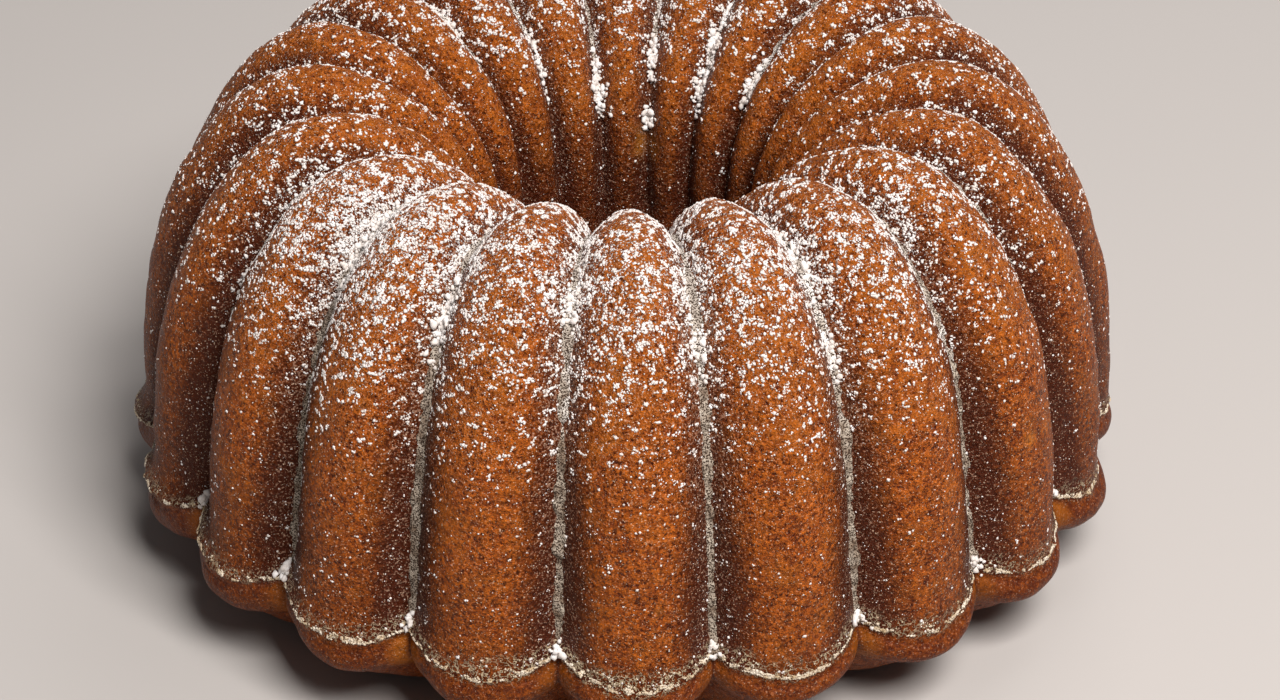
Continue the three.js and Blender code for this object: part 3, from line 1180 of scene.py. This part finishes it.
@dataclass
class FootSugar:
    """Sugar at the foot: a crumbled line on the ledge and white lumps in the groove feet."""

    crust: Crust
    rim_finish: bpy.types.Material
    lump_finish: bpy.types.Material
    line_width: float = 0.6
    line_share: float = 0.74
    curl_share: float = 0.13
    seed: int = 29

    def build(self) -> None:
        """Makes the ledge crumbs and the lumps."""
        rng = np.random.default_rng(self.seed)
        self.crumbs(rng)
        self.lumps(rng)

    def crumbs(self, rng: np.random.Generator) -> bpy.types.Object:
        """Makes the crumbs: a wandering line along the ledge, and curls above it.

        Args:
            rng: the seeded source of randomness.

        Returns:
            The joined mesh piece.
        """
        crust = self.crust
        wander = 0.8 * crust.noise.at(crust.points + 200, 5.0)
        line = np.exp(-((crust.above_ledge - wander) / self.line_width) ** 2)
        share = np.clip(self.line_share * line + self.curl_share * crust.foot ** 2, 0, 1)
        share = share * (crust.outside & (crust.on_lip | crust.on_body))
        kind = GrainKind("sugar_on_foot_ledge", 11000, 1, 0.16, 0.44, (1.5, 1.5, 0.8), 0.3, 0.25)
        sugar = SiftedSugar(crust, self.rim_finish, self.seed)
        return sugar.blobs(kind, sugar.gathered(kind, share, share, rng), rng)

    def lumps(self, rng: np.random.Generator) -> bpy.types.Object:
        """Makes the lumps, more in some groove feet than in others.

        Args:
            rng: the seeded source of randomness.

        Returns:
            The joined mesh piece.
        """
        crust, flutes = self.crust, self.crust.shape.flutes
        kind = GrainKind("sugar_lumps_in_groove_feet", 560, 2, 0.35, 1.05, (1, 1, 1), 0.2, 0.3)
        per_groove = rng.multinomial(kind.count, rng.dirichlet(np.full(flutes, 3.0)))
        groove = np.repeat(np.arange(flutes) * crust.steps_per_flute, per_groove).astype(float)
        rows = crust.body_start + 1.2 + rng.normal(0, 0.8, len(groove))
        columns = groove + rng.normal(0, 0.9, len(groove))
        normals = unit(crust.read(crust.normals, rows, columns))
        points = crust.read(crust.points, rows, columns) + normals * rng.uniform(0, 0.7, (len(groove), 1))
        sites = Sites(points, normals, rows, columns)
        return SiftedSugar(crust, self.lump_finish).blobs(kind, sites, rng)


# ------------------------------------------------------------------------------- studio


@dataclass
class Studio:
    """The floor, the lights and the camera.

    Angles are in degrees and the aim, across and up, is in millimetres. The camera's
    distance, the floor's size and the lights' places are in metres.
    """

    camera_turn: float = -1.01
    camera_height: float = 32.21
    camera_roll: float = -0.19
    camera_distance: float = 1.025
    aim: tuple[float, float] = (3.2, 39.4)
    lens: float = 116.2
    sensor_width: float = 36.0
    floor_size: float = 6.0
    lit_height: float = 0.06
    room_colour: str = "f0ecec"
    room_strength: float = 0.10

    def floor(self) -> None:
        """Lays the pale sheet that the cake stands on."""
        half = self.floor_size / 2
        mesh = bpy.data.meshes.new("floor")
        corners = [(-half, -half, 0), (half, -half, 0), (half, half, 0), (-half, half, 0)]
        mesh.from_pydata(corners, [], [(0, 1, 2, 3)])
        mesh.materials.append(PaperSweep().build())
        sheet = bpy.data.objects.new("floor", mesh)
        bpy.context.scene.collection.objects.link(sheet)

    def softbox(self, name: str, place: tuple[float, float, float], size: float, watts: float,
                colour: str) -> None:
        """Adds a square area light aimed at the cake's middle.

        Args:
            name: the light's name.
            place: where it hangs, in metres.
            size: its side, in metres.
            watts: its power.
            colour: its colour as hex.
        """
        data = bpy.data.lights.new(name, "AREA")
        data.shape = "SQUARE"
        data.size = size
        data.energy = watts
        data.color = linear(colour)[:3]
        lamp = bpy.data.objects.new(name, data)
        lamp.location = place
        lamp.rotation_mode = "QUATERNION"
        aim = Vector((0, 0, self.lit_height)) - Vector(place)
        lamp.rotation_quaternion = aim.to_track_quat("-Z", "Y")
        bpy.context.scene.collection.objects.link(lamp)

    def lights(self) -> None:
        """Hangs the softboxes and sets the even light of the room."""
        self.softbox("key_front_right", (0.42, -0.78, 1.28), 0.7, 33, "fffaf6")
        self.softbox("top_behind", (0.40, 0.80, 1.15), 0.9, 5.5, "fffaf8")
        world = bpy.data.worlds.new("room")
        world.use_nodes = True
        background = world.node_tree.nodes["Background"]
        background.inputs["Color"].default_value = linear(self.room_colour)
        background.inputs["Strength"].default_value = self.room_strength
        bpy.context.scene.world = world

    def camera(self) -> None:
        """Sets the camera on a sphere round the aim point."""
        turn, height = math.radians(self.camera_turn), math.radians(self.camera_height)
        back = Vector((math.sin(turn) * math.cos(height), -math.cos(turn) * math.cos(height),
                       math.sin(height)))
        across = Vector((math.cos(turn), math.sin(turn), 0))
        target = across * (self.aim[0] * MM) + Vector((0, 0, self.aim[1] * MM))
        data = bpy.data.cameras.new("camera")
        data.lens = self.lens
        data.sensor_width = self.sensor_width
        camera = bpy.data.objects.new("camera", data)
        camera.location = target + back * self.camera_distance
        camera.rotation_mode = "QUATERNION"
        roll = Quaternion((0, 0, 1), math.radians(self.camera_roll))
        camera.rotation_quaternion = (-back).to_track_quat("-Z", "Y") @ roll
        bpy.context.scene.collection.objects.link(camera)
        bpy.context.scene.camera = camera

    def build(self) -> None:
        """Makes the whole studio."""
        self.floor()
        self.lights()
        self.camera()
        bpy.context.scene.view_settings.view_transform = "Standard"


def main() -> None:
    """Builds the crust, the sugar and the studio in order."""
    logging.basicConfig(level=logging.INFO, format="%(name)s %(message)s")
    crust = Crust()
    crust.build()
    white = IcingSugar().build()
    caked = IcingSugar(name="caked_icing_sugar", bright="c2b6a6", dull="806c5a", fleck="33200f",
                       fleck_share=0.70, fleck_mm=0.34).build()
    crumbled = IcingSugar(name="crumbled_sugar_crust", bright="efe5d4", dull="bfa885", fleck="6c4a2c",
                          fleck_share=0.45).build()
    SiftedSugar(crust, white).build()
    GrooveSugar(crust, caked).build()
    DriftedSugar(crust, white).build()
    FootSugar(crust, crumbled, white).build()
    Studio().build()


if __name__ == "__main__":
    main()
